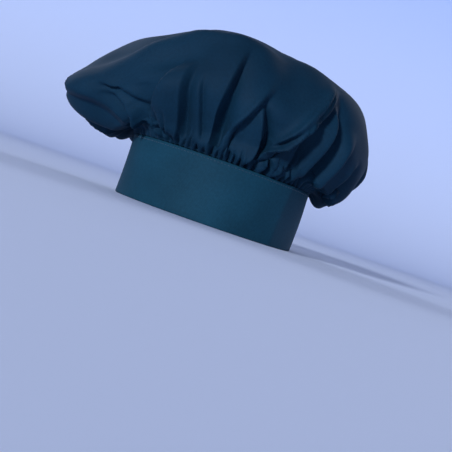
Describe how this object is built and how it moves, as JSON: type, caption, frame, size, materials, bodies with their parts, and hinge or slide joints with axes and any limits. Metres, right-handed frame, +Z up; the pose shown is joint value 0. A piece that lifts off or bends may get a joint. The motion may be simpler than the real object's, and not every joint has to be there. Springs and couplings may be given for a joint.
{
  "type": "mushroom chef hat",
  "caption": "Cloth kitchen hat with a wide plain band and a large soft round crown gathered into it that hangs over the band on both sides.",
  "frame": {"origin": "centre of the hat's outer box in plan, on the surface that the band stands on", "axes": "+Z up, +Y towards the back of the hat, +X towards the wearer's left"},
  "size_m": [0.2952, 0.2666, 0.177],
  "materials": {
    "crown_cloth": "dark teal blue poly-cotton twill, woven, matte, single cloth",
    "band_cloth": "dark teal blue poly-cotton twill, woven, matte, doubled and pressed"
  },
  "bodies": {
    "root": {"crown": "crown_cloth", "band": "band_cloth"}
  },
  "joints": []
}
